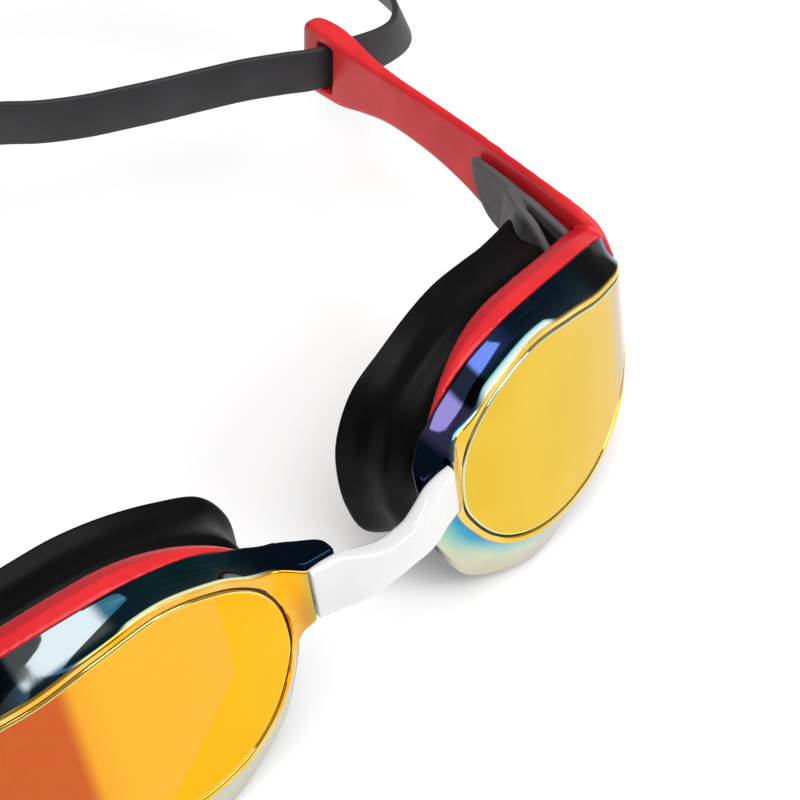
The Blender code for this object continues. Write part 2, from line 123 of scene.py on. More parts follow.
def catmull(points, at, closed=False):
    """Catmull-Rom curve through points, at the marks at, which count the points."""
    points, at = np.asarray(points, float), np.asarray(at, float)
    count = len(points)
    k = np.floor(at).astype(int)
    if not closed:
        k = np.clip(k, 0, count - 2)
    t = (at - k)[:, None]

    def pick(step):
        return points[(k + step) % count] if closed else points[np.clip(k + step, 0, count - 1)]
    a, b, c, d = pick(-1), pick(0), pick(1), pick(2)
    square, cube = 2 * a - 5 * b + 4 * c - d, 3 * b - a - 3 * c + d
    return 0.5 * (2 * b + (c - a) * t + square * t * t + cube * t ** 3)


def outline(points, at, offset=0.0):
    """Points (x, z) of a closed outline, moved outwards by offset."""
    spot = catmull(points, at, True)
    run = catmull(points, at + 0.05, True) - catmull(points, at - 0.05, True)
    run /= np.hypot(run[:, 0], run[:, 1])[:, None]
    return spot + np.stack([run[:, 1], -run[:, 0]], 1) * offset


def face_y(x, z):
    """Front face of the eyecup: curved sideways, leaned back, and wrapped round the temple."""
    reach = x - 47.4
    wrap = 0.045 * np.maximum(0.0, x - 68.0) ** 2
    return -3.3 + 0.178 * reach + 0.0052 * reach ** 2 + 0.248 * (z + 2.3) + wrap


def seat_y(x, z):
    """Plane on which the pod, the rim and the gasket meet, stepped down towards the nose."""
    u = (x - 42.0) / 30.0
    drop = 8.0 - z
    nasal = 2.8 * smooth_step((38.0 - x) / 16.0) * smooth_step((-4.0 - z) / 10.0)
    rise = 7.2 + 3.3 * u + 1.15 * u * u + 1.4 * u ** 3
    return rise - 0.19 * (drop + np.sqrt(drop * drop + 9.0)) + nasal


def lug_share(x, z):
    """How far a point belongs to the nose lug: 1 at its end, 0 on the eyecup."""
    return smooth_step((21.5 - x) / 5.6) * smooth_step((z + 9.0) / 7.0)


def front_y(x, z):
    """Front of the pod, with the flare that meets the bridge."""
    lug = -6.15 + 0.5 * (x - 15.9) + 0.22 * (z - LUG_MIDDLE_Z)
    return lerp(face_y(x, z), lug, lug_share(x, z))


def back_y(x, z):
    """Back of the pod, with the back of the nose lug."""
    lug = 1.5 + 0.32 * (z - LUG_MIDDLE_Z)
    return lerp(seat_y(x, z), lug, lug_share(x, z))


def stack(points, y):
    """Points (x, y, z) from flat points (x, z) and their y."""
    return np.stack([points[:, 0], y, points[:, 1]], 1)


def inset(points, depth):
    """A closed (x, z) polygon moved inwards by depth, square at its corners."""
    ahead = np.roll(points, -1, 0) - points
    ahead /= np.maximum(1e-9, np.hypot(ahead[:, 0], ahead[:, 1]))[:, None]
    behind = np.roll(ahead, 1, 0)
    side_a = np.stack([-ahead[:, 1], ahead[:, 0]], 1)
    side_b = np.stack([-behind[:, 1], behind[:, 0]], 1)
    mean = side_a + side_b
    mean /= np.maximum(0.6, (mean * side_a).sum(1))[:, None]
    return points + mean * depth


# ---- meshes

def link(name, mesh):
    obj = bpy.data.objects.new(name, mesh)
    bpy.context.scene.collection.objects.link(obj)
    return obj


def finish_mesh(mesh, angle=38):
    mesh.shade_smooth()
    mesh.set_sharp_from_angle(angle=math.radians(angle))


def skin(name, rings, side=1, closed=False, marks=None, angle=38):
    """Closed body through rings (ring, point, xyz); closed joins the last ring to the first, else both
    ends are capped. marks are named numbers per point for the materials."""
    rings = np.asarray(rings, float)
    rows, count = rings.shape[:2]
    spots = (rings.reshape(-1, 3) * (side, 1, 1) - ORIGIN) * MM
    faces = []
    for i in range(rows if closed else rows - 1):
        a, b = i * count, ((i + 1) % rows) * count
        faces += [(a + j, a + (j + 1) % count, b + (j + 1) % count, b + j) for j in range(count)]
    if not closed:
        faces += [tuple(range(count)), tuple(range((rows - 1) * count, rows * count))]
    mesh = bpy.data.meshes.new(name)
    mesh.from_pydata(spots.tolist(), [], faces)
    bm = bmesh.new()
    bm.from_mesh(mesh)
    bmesh.ops.recalc_face_normals(bm, faces=bm.faces)
    if bm.calc_volume(signed=True) < 0:
        bmesh.ops.reverse_faces(bm, faces=bm.faces)
    bm.to_mesh(mesh)
    bm.free()
    for key, values in (marks or {}).items():
        layer = mesh.attributes.new(key, "FLOAT", "POINT")
        layer.data.foreach_set("value", np.asarray(values, np.float32).ravel())
    finish_mesh(mesh, angle)
    return link(name, mesh)


def applied(obj):
    """Applies obj's modifiers."""
    bpy.context.view_layer.update()
    graph = bpy.context.evaluated_depsgraph_get()
    mesh = bpy.data.meshes.new_from_object(obj.evaluated_get(graph))
    obj.modifiers.clear()
    old, obj.data = obj.data, mesh
    bpy.data.meshes.remove(old)
    mesh.name = obj.name
    return obj


def cut(obj, cutter, operation="DIFFERENCE"):
    """Cuts cutter out of obj, or joins it with UNION, and removes it."""
    mod = obj.modifiers.new("cut", "BOOLEAN")
    mod.operation, mod.solver, mod.object = operation, "EXACT", cutter
    applied(obj)
    bpy.data.objects.remove(cutter)


def fused(obj, others, voxel, rounds):
    """Melts overlapping bodies into one moulded body with softened edges."""
    bm = bmesh.new()
    for item in (obj, *others):
        bm.from_mesh(item.data)
    bm.to_mesh(obj.data)
    bm.free()
    for item in others:
        bpy.data.objects.remove(item)
    mod = obj.modifiers.new("fuse", "REMESH")
    mod.mode, mod.voxel_size = "VOXEL", voxel * MM
    mod = obj.modifiers.new("soften", "SMOOTH")
    mod.factor, mod.iterations = 0.5, rounds
    applied(obj)
    obj.data.shade_smooth()
    return obj


def mirrored(obj, name):
    """A copy of obj on the other side."""
    mesh = obj.data.copy()
    mesh.name = name
    mesh.transform(Matrix.Scale(-1, 4, Vector((1, 0, 0))))
    mesh.flip_normals()
    return link(name, mesh)


def rounded(y_front, y_back, z_low, z_high, radius, per_corner=5):
    """Closed rounded rectangle as (y, z) points, from the low front corner round by the top."""
    radius = min(radius, 0.499 * (y_back - y_front), 0.499 * (z_high - z_low))
    corners = [(y_front + radius, z_low + radius, 180, 270), (y_front + radius, z_high - radius, 90, 180),
               (y_back - radius, z_high - radius, 0, 90), (y_back - radius, z_low + radius, -90, 0)]
    out = []
    for y, z, start, stop in corners:
        angles = np.radians(np.linspace(stop, start, per_corner))
        out += [(y + radius * math.cos(a), z + radius * math.sin(a)) for a in angles]
    return np.array(out)


# ---- eyecup

MARKS = np.concatenate([np.linspace(LUG_LOW, LUG_HIGH, AROUND),
                        np.linspace(LUG_HIGH, LUG_LOW + CORNERS, LUG_END_POINTS + 2)[1:-1]])


def lugged(points, low, top):
    """An outline with its nose part drawn out into the lug."""
    control = low + [points[i % CORNERS] for i in range(10, 26)] + top
    spots = [*LUG_MARKS, *range(11, 25), *LUG_MARKS_TOP]
    at = np.interp(MARKS[:AROUND], spots, np.arange(len(control)))
    body = catmull(control, at)
    end = np.linspace(body[-1], body[0], LUG_END_POINTS + 2)[1:-1]
    return np.concatenate([body, end])


def plain(points, offset):
    """An outline without the lug, with one point for each point of a lugged one."""
    return outline(points, MARKS, offset)


def on(surface, points, depth=0.0):
    """Flat points laid on a surface, depth behind it."""
    return stack(points, surface(points[:, 0], points[:, 1]) + depth)


def lens_pod(name):
    """Mirrored housing: gold border round the plate, side walls, back flange and nose lug."""
    face = lugged(FACE_OUTLINE, FACE_LUG, FACE_LUG_TOP)
    back = lugged(BACK_OUTLINE, BACK_LUG, BACK_LUG_TOP)
    edge = plain(FACE_OUTLINE, PLATE_EDGE)
    rings, zone, wall = [], [], []

    def add(ring, is_front, along_wall):
        rings.append(ring)
        zone.append(np.full(len(ring), is_front))
        wall.append(np.full(len(ring), along_wall))

    # gold border, from the plate's recess out to the front edge
    add(on(front_y, edge, PLATE_RECESS), 1.0, 0.0)
    add(on(front_y, edge, 0.32), 1.0, 0.0)
    add(on(front_y, lerp(edge, face, 0.06), 0.08), 1.0, 0.0)
    start, stop = plain(FACE_OUTLINE, PLATE_EDGE + 0.22), inset(face, 0.42)
    for t in np.linspace(0, 1, 7):
        flat = lerp(start, stop, t)
        add(on(front_y, flat), 1.0, 0.0)
    for depth_in, depth_back in ((0.2, 0.05), (0.06, 0.2)):
        add(on(front_y, inset(face, depth_in), depth_back), 1.0, 0.0)
    # side wall, slightly hollow
    front_edge, back_edge = on(front_y, face, 0.42), on(back_y, back, -0.35)
    hollow = np.concatenate([np.full(AROUND, 0.5), np.zeros(LUG_END_POINTS)])
    hollow *= smooth_step(np.minimum(MARKS - LUG_LOW, LUG_HIGH - MARKS) / 1.2)
    for t in np.linspace(0, 1, 11):
        ring = lerp(front_edge, back_edge, t)
        flat = ring[:, [0, 2]]
        inwards = inset(flat, 1.0) - flat
        add(stack(flat + inwards * (hollow * math.sin(math.pi * t))[:, None], ring[:, 1]), 0.0, t)
    # back flange, then the inside
    add(on(back_y, inset(back, 0.1), -0.08), 0.0, 1.0)
    add(on(back_y, inset(back, 0.35)), 0.0, 1.0)
    add(on(back_y, plain(SEAL_OUTLINE, 0.2)), 0.0, 1.0)
    add(on(back_y, plain(SEAL_OUTLINE, -FLANGE_LAND)), 0.0, 1.0)
    add(on(back_y, plain(SEAL_OUTLINE, -FLANGE_LAND), -1.4), 0.0, 1.0)
    ledge = plain(FACE_OUTLINE, PLATE_EDGE - LEDGE_WIDTH)
    add(on(face_y, ledge, 2.6), 0.0, 1.0)
    add(on(face_y, ledge, PLATE_RECESS), 0.0, 1.0)
    arc = np.tile(MARKS / CORNERS, (len(rings), 1))
    return skin(name, rings, closed=True, marks={"front": zone, "wall": wall, "arc": arc}, angle=44)


def lug_lap(name):
    """Thin end of the nose lug, behind the bridge."""
    # x, front y, back y, lowest z, highest z
    stations = [(17.4, -3.2, 1.3, -2.6, 7.4), (15.9, -4.4, 1.45, -2.1, 7.58), (13.0, -4.85, -0.5, -1.9, 7.5),
                (10.8, -5.05, -2.0, -1.8, 7.4), (10.0, -5.1, -2.9, -1.7, 7.3), (9.75, -4.9, -3.3, -1.5, 7.1)]
    table = catmull(stations, np.linspace(0, len(stations) - 1, 26))
    rings = []
    for x, front, back, low, high in table:
        section = rounded(front, back, low, high, 0.55)
        lean = lerp(0.22, 0.32, smooth_step((section[:, 0] - front) / (back - front)))
        y = section[:, 0] + lean * (section[:, 1] - LUG_MIDDLE_Z)
        rings.append(np.stack([np.full(len(y), x), y, section[:, 1]], 1))
    points = len(rings) * len(rings[0])
    marks = {"front": np.zeros(points), "wall": np.full(points, 0.6), "arc": np.full(points, 1.38)}
    return skin(name, rings, marks=marks)


def lens_plate(name):
    """Curved optical plate, flush with the pod's border, with a fine groove round it."""
    def ring(offset, depth, scale=1.0):
        flat = plain(FACE_OUTLINE, PLATE_EDGE + offset)
        flat = lerp(np.array(CUP_MIDDLE), flat, scale)
        return on(face_y, flat, depth)

    scales = (0.02, 0.12, 0.27, 0.42, 0.56, 0.68, 0.78, 0.86, 0.92, 0.96, 0.985)
    face = [ring(-0.85, 0.0, scale) for scale in scales] + [ring(-0.80, 0.0)]
    lip = [ring(-0.76, 0.0), ring(-0.52, 0.05), ring(-0.44, 0.16), ring(-0.4, 0.32)]
    back = [ring(-0.4, 1.4)] + [ring(-0.6, 1.5, scale) for scale in (1.0, 0.9, 0.7, 0.4, 0.1, 0.02)]
    rings = face + lip + back
    # the lip's rings are marked for a painted highlight along the bevel
    edge = [0.0] * len(face) + [1.0] * len(lip) + [0.0] * len(back)
    marks = {"edge": np.repeat(edge, len(MARKS))}
    return skin(name, rings, marks=marks, angle=50)


def groove_bed(name):
    """Dark sheet at the bottom of the groove, standing in for the groove's shade."""
    rings = [on(face_y, plain(FACE_OUTLINE, offset), depth)
             for offset, depth in ((-0.9, 0.62), (-1.8, 0.62), (-1.8, 1.2), (-0.9, 1.2))]
    return skin(name, rings, closed=True)


# Gasket section as (offset outwards, share of the way to the lip, extra y), round the section.
GASKET_SECTION = [(-0.2, 0.0, 0.0), (-0.35, 0.06, 0), (-1.15, 0.16, 0), (-1.75, 0.28, 0), (-1.55, 0.38, 0),
                  (-0.75, 0.46, 0), (-0.55, 0.52, 0), (-0.95, 0.62, 0), (-1.5, 0.74, 0), (-1.25, 0.86, 0),
                  (-0.3, 0.95, 0), (0.0, 0.985, 0), (-0.25, 1.0, 0.1), (-1.2, 1.0, 0.05), (-2.4, 1.0, -0.15),
                  (-3.4, 1.0, -0.6), (-3.9, 1.0, -1.6), (-3.4, 0.85, -0.6), (-3.1, 0.7, 0), (-3.1, 0.5, 0),
                  (-3.0, 0.3, 0), (-2.4, 0.12, 0), (-1.8, 0.03, 0), (-1.7, 0.0, 0)]


def gasket(name):
    """Soft face seal: a collar, a channel, a soft ridge, a second channel and a thin flared lip."""
    at = np.linspace(0, CORNERS, AROUND, endpoint=False)
    base_flat = outline(SEAL_OUTLINE, at)
    lip = catmull(LIP, at, True)
    away = base_flat - np.array(CUP_MIDDLE)
    away /= np.hypot(away[:, 0], away[:, 1])[:, None]
    base = on(seat_y, base_flat, 0.3)
    count = len(GASKET_SECTION)
    rings = []
    for offset, share, extra in catmull(GASKET_SECTION, np.arange(0, count, 0.5), True):
        ring = lerp(base, lip, min(1.0, max(0.0, share)))
        ring[:, [0, 2]] += away * offset
        ring[:, 1] += extra
        rings.append(ring)
    return skin(name, rings, closed=True, angle=60)


RIM_WALL, RIM_DEPTH = 2.0, 5.7
RIM_FIRST, RIM_LAST = 7.8, -3.2               # its two ends, counted in outline points


def rim_body(name):
    """Red rim: tapers to a point by the nose, runs over the top and hooks under the temple."""
    at = np.linspace(RIM_FIRST, RIM_LAST, 150)
    out, low_in = outline(BACK_OUTLINE, at), outline(BACK_OUTLINE, at, -RIM_WALL)
    along = np.linspace(0, 1, len(at))
    taper = lerp(0.14, 1.0, smooth_step(along / 0.27))
    taper *= lerp(1.0, 0.45, smooth_step((along - 0.86) / 0.14))
    depth = RIM_DEPTH * taper
    inn = lerp(out, low_in, np.maximum(0.4, taper)[:, None])
    front = seat_y(out[:, 0], out[:, 1]) + 0.05
    # share of the wall's thickness, share of the depth
    profile = [(0.0, 0.0), (0.02, 0.2), (0.05, 0.46), (0.2, 0.6), (0.5, 0.82), (0.8, 1.0), (1.0, 0.98)]
    rings = [stack(lerp(out, inn, t), front + d * depth) for t, d in profile]
    rings.append(stack(inn, seat_y(inn[:, 0], inn[:, 1]) + 0.05))
    rings = np.array(rings).transpose(1, 0, 2)
    return skin(name, rings)


def plate_section(y, x_out, x_in, z_low, z_high, radius, slope=0.0):
    """Upright plate's section; slope cuts that share of its thickness off, inside, over its top 3 mm."""
    section = rounded(x_in, x_out, z_low, z_high, radius, 9)
    lift = np.clip((section[:, 1] - z_high + 3.0) / 3.0, 0, 1)
    x = lerp(section[:, 0], x_out, slope * lift)
    return np.stack([x, np.full(len(section), y), section[:, 1]], 1)


# Red arm from inside the rim's temple to its end: y, outer x, inner x, lowest z, highest z.
ARM = [(9.5, 73.6, 71.6, -5.5, 7.2), (11.5, 74.3, 71.8, -6.4, 8.6), (13.4, 74.8, 71.5, -6.8, 9.9),
       (16.0, 75.2, 71.2, -7.0, 11.0), (19.0, 75.3, 71.3, -7.0, 11.6), (22.5, 75.4, 71.8, -6.9, 11.9),
       (28, 75.7, 72.8, -5.9, 12.1), (34, 76.2, 73.7, -4.2, 12.1), (41, 76.7, 74.2, -2.4, 12.2),
       (48, 77.2, 74.7, -0.4, 12.3), (56, 77.7, 75.1, 1.0, 12.3), (64, 78.2, 75.5, 1.4, 12.2),
       (71, 78.7, 75.9, 0.9, 12.1), (78, 79.7, 76.2, -0.9, 12.0), (84, 81.1, 76.5, -2.9, 12.1),
       (89, 81.9, 76.8, -3.6, 12.2), (93.5, 81.6, 76.8, -3.6, 12.2), (95.4, 81.0, 77.1, -3.1, 11.8),
       (96.2, 80.2, 77.7, -2.2, 11.0)]
SLOT_Y, SLOT_Z = (86.8, 91.2), (-1.3, 9.9)


def rim_and_arm(name):
    """Rim and arm as the single moulding they are, with the strap slot through the arm's end."""
    table = catmull(ARM, np.linspace(0, len(ARM) - 1, 110))
    slopes = 0.8 * smooth_step((80 - table[:, 0]) / 40)
    arm = skin("arm_shape", [plate_section(*row, 1.1, slope) for row, slope in zip(table, slopes)])
    slot_rings = [[(x, y, z) for y, z in rounded(*SLOT_Y, *SLOT_Z, 0.9)] for x in (70, 90)]
    cut(arm, skin("slot", slot_rings))
    return fused(rim_body(name), [arm], 0.32, 6)


def lining(name):
    """Soft web on the arm's inner face, forked round a triangle to the gasket; the triangle is closed web,
    painted black as painted shade for an opening.
    """
    outer = [(45.4, 74.7, 73.5, 7.2, 8.8), (44.2, 74.7, 73.2, 4.2, 9.0), (42.0, 74.6, 73.0, 0.6, 9.1),
             (39.0, 74.4, 72.8, -2.2, 9.1), (33.0, 73.8, 72.1, -3.8, 9.0), (27.5, 73.2, 71.4, -4.4, 8.9),
             (21.0, 72.2, 70.5, -4.4, 8.6), (17.6, 71.6, 70.3, -4.2, 8.2)]
    table = catmull(outer, np.linspace(0, len(outer) - 1, 60))
    web = skin(name, [plate_section(*row, 0.6) for row in table])
    route = catmull([(72.1, 34.5), (70.3, 29.5), (69.3, 25.5), (67.8, 22.0), (66.4, 18.6), (65.6, 15.0)],
                    np.linspace(0, 5, 40))
    rings = []
    for i, (x, y) in enumerate(route):
        along = i / (len(route) - 1)
        low, high = lerp(-3.4, -4.8, along), lerp(9.0, 6.4, along)
        ring = plate_section(y, x + 0.8, x - 0.8, low, high, 0.7)
        ring[:, 1] += 0.35 * (x + 0.8 - ring[:, 0])
        rings.append(ring)
    return fused(web, [skin("prong", rings)], 0.26, 6)


# ---- bridge

# x, front y, back y, lowest z, highest z, lean of the front with height
BRIDGE = [(15.55, -6.35, -4.75, -2.0, 6.6, 0.22), (15.3, -6.5, -4.75, -2.3, 6.9, 0.22),
          (14.4, -6.75, -4.8, -2.5, 7.1, 0.22), (12.0, -7.4, -4.9, -2.7, 7.2, 0.22),
          (9.0, -8.5, -5.4, -2.8, 7.2, 0.2), (6.0, -9.4, -5.9, -3.1, 6.6, 0.1),
          (3.0, -9.9, -6.3, -3.2, 6.0, 0.0), (0.0, -10.0, -6.4, -3.2, 5.8, 0.0)]


def nose_bridge(name):
    """Glossy bridge with soft edges that laps over both lugs."""
    whole = BRIDGE + [(-row[0], *row[1:]) for row in reversed(BRIDGE[:-1])]
    table = catmull(whole, np.linspace(0, len(whole) - 1, 120))
    rings = []
    for x, front, back, low, high, lean in table:
        ends = smooth_step((15.6 - abs(x)) / 0.9)
        section = rounded(front, back, low, high, lerp(0.5, 1.25, ends), 7)
        y = section[:, 0] + lean * (section[:, 1] - LUG_MIDDLE_Z)
        rings.append(np.stack([np.full(len(y), x), y, section[:, 1]], 1))
    return skin(name, rings, angle=50)


# ---- strap

STRAP_WIDTH, STRAP_THICK, STRAP_Z, STRAP_LEAN = 10.0, 1.4, 4.3, 0.5
REAR_Y, LAYER = 171.0, 2.0                    # inner layer at the back, and the step to the outer one
INNER_RUN = [(0.0, 125.8), (5.0, 125.2), (11.0, 122.8), (17.6, 118.4), (23.5, 113.6), (31.0, 109.2),
             (38.5, 106.0), (46.0, 103.0), (54.0, 100.1), (62.0, 97.0), (69.5, 93.2), (75.0, 90.2)]
OUTER_RUN = [(83.2, 88.0), (90.0, 86.6), (96.6, 87.4), (101.4, 91.6), (104.4, 99.0), (106.0, 110.0),
             (105.0, 124.0), (98.6, 139.0), (86.0, 152.6), (68.0, 162.8), (48.0, 168.6), (30.0, 170.7)]


def strap_route():
    """The strap's middle line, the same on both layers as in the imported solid."""
    second = REAR_Y + LAYER
    near = OUTER_RUN + [(14.0, REAR_Y), (5.0, REAR_Y)]
    far = [(-x, y + LAYER * float(smooth_step((y - 141.0) / 24.0))) for x, y in OUTER_RUN]
    tail_in = [(-46.0, 168.9), (-38.0, 170.0), (-30.0, 170.7), (-22.0, 170.95), (-14.0, REAR_Y),
               (-5.0, REAR_Y)]
    tail_out = [(-14.0, second), (-5.0, second), (5.0, second), (14.0, second), (22.0, second - 0.05),
                (30.0, second - 0.3), (38.0, second - 1.0), (46.0, second - 2.1)]
    inner = INNER_RUN[::-1] + [(-x, y) for x, y in INNER_RUN[1:]]
    return tail_in + near[::-1] + inner + far + tail_out


ROUTE = strap_route()


def mark_near(x, y):
    """Number of the strap's route point nearest to (x, y)."""
    return min(range(len(ROUTE)), key=lambda i: math.hypot(ROUTE[i][0] - x, ROUTE[i][1] - y))


def strap_piece(name, first, last):
    """The stretch of strap between two marks of its route, with rounded edges."""
    steps = max(3, int(round((last - first) * 10)) + 1)
    at = np.linspace(first, last, steps)
    line = catmull(ROUTE, at)
    run = catmull(ROUTE, at + 0.02) - catmull(ROUTE, at - 0.02)
    run /= np.hypot(run[:, 0], run[:, 1])[:, None]
    rings = []
    for (x, y), (dx, dy) in zip(line, run):
        section = rounded(-STRAP_THICK / 2, STRAP_THICK / 2, -STRAP_WIDTH / 2, STRAP_WIDTH / 2, 0.55, 4)
        bulge = float(smooth_step((abs(x) - 88.0) / 12.0) * smooth_step((135.0 - y) / 25.0))
        lean = math.copysign(STRAP_LEAN * bulge, x)
        rings.append([(x - dy * s - lean * h, y + dx * s, STRAP_Z + h) for s, h in section])
    return skin(name, rings)


def clip_body(name):
    """Back clip's channel with rounded outside corners and open ends for the strap."""
    low_y, high_y = REAR_Y - 1.0, REAR_Y + LAYER + 1.0
    low_z, high_z = STRAP_Z - 5.3, STRAP_Z + 5.3
    half, wall = 10.0, 1.4
    outer = rounded(low_y - wall, high_y + 0.1, low_z - wall, high_z + wall, 1.1, 6)
    centre = outer.mean(0)
    rings = []
    for x, cut_in in ((-half, 0.5), (-half + 0.15, 0.2), (-half + 0.5, 0.0),
                      (half - 0.5, 0.0), (half - 0.15, 0.2), (half, 0.5)):
        shrunk = centre + (outer - centre) * (1 - cut_in / 6.0)
        rings.append([(x, y, z) for y, z in shrunk])
    body = skin(name, rings)
    hole = rounded(low_y, high_y, low_z, high_z, 0.4, 3)
    cut(body, skin("clip_hole", [[(x, y, z) for y, z in hole] for x in (-20, 20)]))
    finish_mesh(body.data)
    return body


def clip_cover(name):
    """Snap-on cover with a raised frame and three finger ridges."""
    back = REAR_Y + LAYER + 1.3
    low_z, high_z = STRAP_Z - 6.7, STRAP_Z + 6.7
    plate = rounded(-10.0, 10.0, low_z, high_z, 1.8, 8)
    centre = np.array([0.0, STRAP_Z])
    rings = []
    for y, grow in ((0.0, -0.25), (0.12, 0.0), (0.75, 0.0), (1.0, -0.12), (1.15, -0.4), (1.2, -0.8),
                    (1.18, -1.2), (0.95, -1.45), (0.9, -1.8)):
        size = 1 + grow / 6.7
        flat = centre + (plate - centre) * (1 + grow / 10.0, size)
        rings.append([(x, back + y, z) for x, z in flat])
    cover = skin(name, rings)
    for middle in (-4.0, 0.0, 4.0):
        bar = rounded(middle - 0.7, middle + 0.7, STRAP_Z - 3.6, STRAP_Z + 3.6, 0.69, 6)
        mid = bar.mean(0)
        ridge = []
        for y, shrink in ((0.5, 0.0), (1.15, 0.0), (1.4, 0.12), (1.5, 0.4)):
            flat = mid + (bar - mid) * (1 - shrink, 1 - shrink * 0.2)
            ridge.append([(x, back + y, z) for x, z in flat])
        cut(cover, skin("ridge", ridge), "UNION")
    finish_mesh(cover.data)
    return cover


KEEPER_X, KEEPER_SLOPE = 33.0, -0.11          # middle, and the strap's slope there
KEEPER_HOLE = (2.4, 5.5)                      # half its hole's depth and height


def keeper(name, side):
    """Soft ribbed loop round the strap and its tail."""
    slope, middle = KEEPER_SLOPE, REAR_Y + LAYER / 2 - 0.65
    half_y, half_z = KEEPER_HOLE
    section = rounded(-half_y, half_y, -half_z, half_z, 1.0, 6)
    # growth outwards, place along the strap
    profile = [(0.0, -2.8), (0.35, -3.0), (0.9, -2.85), (1.1, -2.4), (0.85, -1.9), (1.1, -1.3),
               (1.1, -0.5), (0.85, 0.0), (1.1, 0.5), (1.1, 1.3), (0.85, 1.9), (1.1, 2.4), (0.9, 2.85),
               (0.35, 3.0), (0.0, 2.8)]
    rings = []
    for grow, along in profile:
        ring = []
        for y, z in section:
            reach = math.hypot(y / half_y, z / half_z)
            away = (y * (1 + grow / (half_y * reach)), z * (1 + grow / (half_z * reach)))
            ring.append((KEEPER_X + along - away[0] * slope, middle + along * slope + away[0],
                         STRAP_Z + away[1]))
        rings.append(ring)
    return skin(name, rings, side, closed=True)


# ---- materials

class Paint:
    """One procedural material: a Principled shader and short calls that add nodes to it."""

    def __init__(self, name, roughness=0.4, metallic=0.0, **sockets):
        self.material = bpy.data.materials.new(name)
        self.material.use_nodes = True
        self.tree = self.material.node_tree
        self.shader = self.tree.nodes["Principled BSDF"]
        self.shader.inputs["Roughness"].default_value = roughness
        self.shader.inputs["Metallic"].default_value = metallic
        for key, value in sockets.items():
            self.shader.inputs[key.replace("_", " ")].default_value = value
        self.place = self.node("ShaderNodeTexCoord").outputs["Object"]

    def node(self, kind, **settings):
        made = self.tree.nodes.new(kind)
        for key, value in settings.items():
            setattr(made, key, value)
        return made

    def feed(self, socket, value):
        if isinstance(value, bpy.types.NodeSocket):
            self.tree.links.new(value, socket)
        elif isinstance(value, tuple) and len(value) == 3 and socket.type == "RGBA":
            socket.default_value = (*value, 1)
        else:
            socket.default_value = value

    def set(self, key, value):
        self.feed(self.shader.inputs[key], value)

    def stretched(self, scale, turn=(0, 0, 0)):
        """The place in the object, scaled and turned."""
        made = self.node("ShaderNodeMapping")
        made.inputs["Scale"].default_value = scale
        made.inputs["Rotation"].default_value = turn
        self.feed(made.inputs["Vector"], self.place)
        return made.outputs["Vector"]

    def noise(self, scale, detail=3.0, vector=None, distortion=0.0):
        made = self.node("ShaderNodeTexNoise")
        self.feed(made.inputs["Vector"], self.place if vector is None else vector)
        for key, value in (("Scale", scale), ("Detail", detail), ("Distortion", distortion)):
            made.inputs[key].default_value = value
        return made.outputs["Fac"]

    def spots(self, scale):
        made = self.node("ShaderNodeTexVoronoi")
        self.feed(made.inputs["Vector"], self.place)
        made.inputs["Scale"].default_value = scale
        return made.outputs["Distance"]

    def axis(self, name):
        made = self.node("ShaderNodeSeparateXYZ")
        self.feed(made.inputs[0], self.place)
        return made.outputs[name]

    def facing(self, name):
        """One component of the surface's direction."""
        made = self.node("ShaderNodeSeparateXYZ")
        self.feed(made.inputs[0], self.node("ShaderNodeNewGeometry").outputs["Normal"])
        return made.outputs[name]

    def mark(self, name):
        """Numbers stored on the mesh by skin."""
        return self.node("ShaderNodeAttribute", attribute_name=name).outputs["Fac"]

    def math(self, operation, a, b=0.0, clamp=False):
        made = self.node("ShaderNodeMath", operation=operation, use_clamp=clamp)
        self.feed(made.inputs[0], a)
        self.feed(made.inputs[1], b)
        return made.outputs[0]

    def times(self, *values):
        """Product of two or more values."""
        product = values[0]
        for value in values[1:]:
            product = self.math("MULTIPLY", product, value)
        return product

    def scaled(self, value, factor, base):
        """value times factor plus base."""
        return self.math("ADD", self.math("MULTIPLY", value, factor), base)

    def point(self, x, y, z=0.0):
        made = self.node("ShaderNodeCombineXYZ")
        for spot, value in zip(made.inputs, (x, y, z)):
            self.feed(spot, value)
        return made.outputs[0]

    def between(self, value, low, high):
        """Smooth step: 0 on low's side, 1 on high's side, which may be the lower number."""
        made = self.node("ShaderNodeMapRange", interpolation_type="SMOOTHSTEP")
        self.feed(made.inputs["Value"], value)
        made.inputs["From Min"].default_value = low
        made.inputs["From Max"].default_value = high
        return made.outputs["Result"]

    def ramp(self, value, stops):
        made = self.node("ShaderNodeValToRGB")
        bar = made.color_ramp.elements
        while len(bar) < len(stops):
            bar.new(0.5)
        for element, (spot, colour) in zip(bar, stops):
            element.position = spot
            element.color = (*colour, 1)
        self.feed(made.inputs["Fac"], value)
        return made.outputs["Color"]

    def mix(self, share, a, b):
        """Colour a where share is 0, b where it is 1."""
        made = self.node("ShaderNodeMix", data_type="RGBA")
        self.feed(made.inputs["Factor"], share)
        self.feed(made.inputs["A"], a)
        self.feed(made.inputs["B"], b)
        return made.outputs["Result"]

    def bump(self, height, strength, distance):
        made = self.node("ShaderNodeBump")
        made.inputs["Strength"].default_value = strength
        made.inputs["Distance"].default_value = distance
        self.feed(made.inputs["Height"], height)
        self.feed(self.shader.inputs["Normal"], made.outputs["Normal"])


PALE_GOLD = (0.80, 0.60, 0.16)


def scratches(paint, scale, turn, width=0.02):
    """Hair-fine wiping marks: thin level lines of a stretched, bent noise."""
    lines = paint.noise(scale, 2.0, paint.stretched((1.0, 0.18, 0.35), turn), 1.2)
    near = paint.math("ABSOLUTE", paint.math("SUBTRACT", lines, 0.5))
    return paint.between(near, width, 0.0)


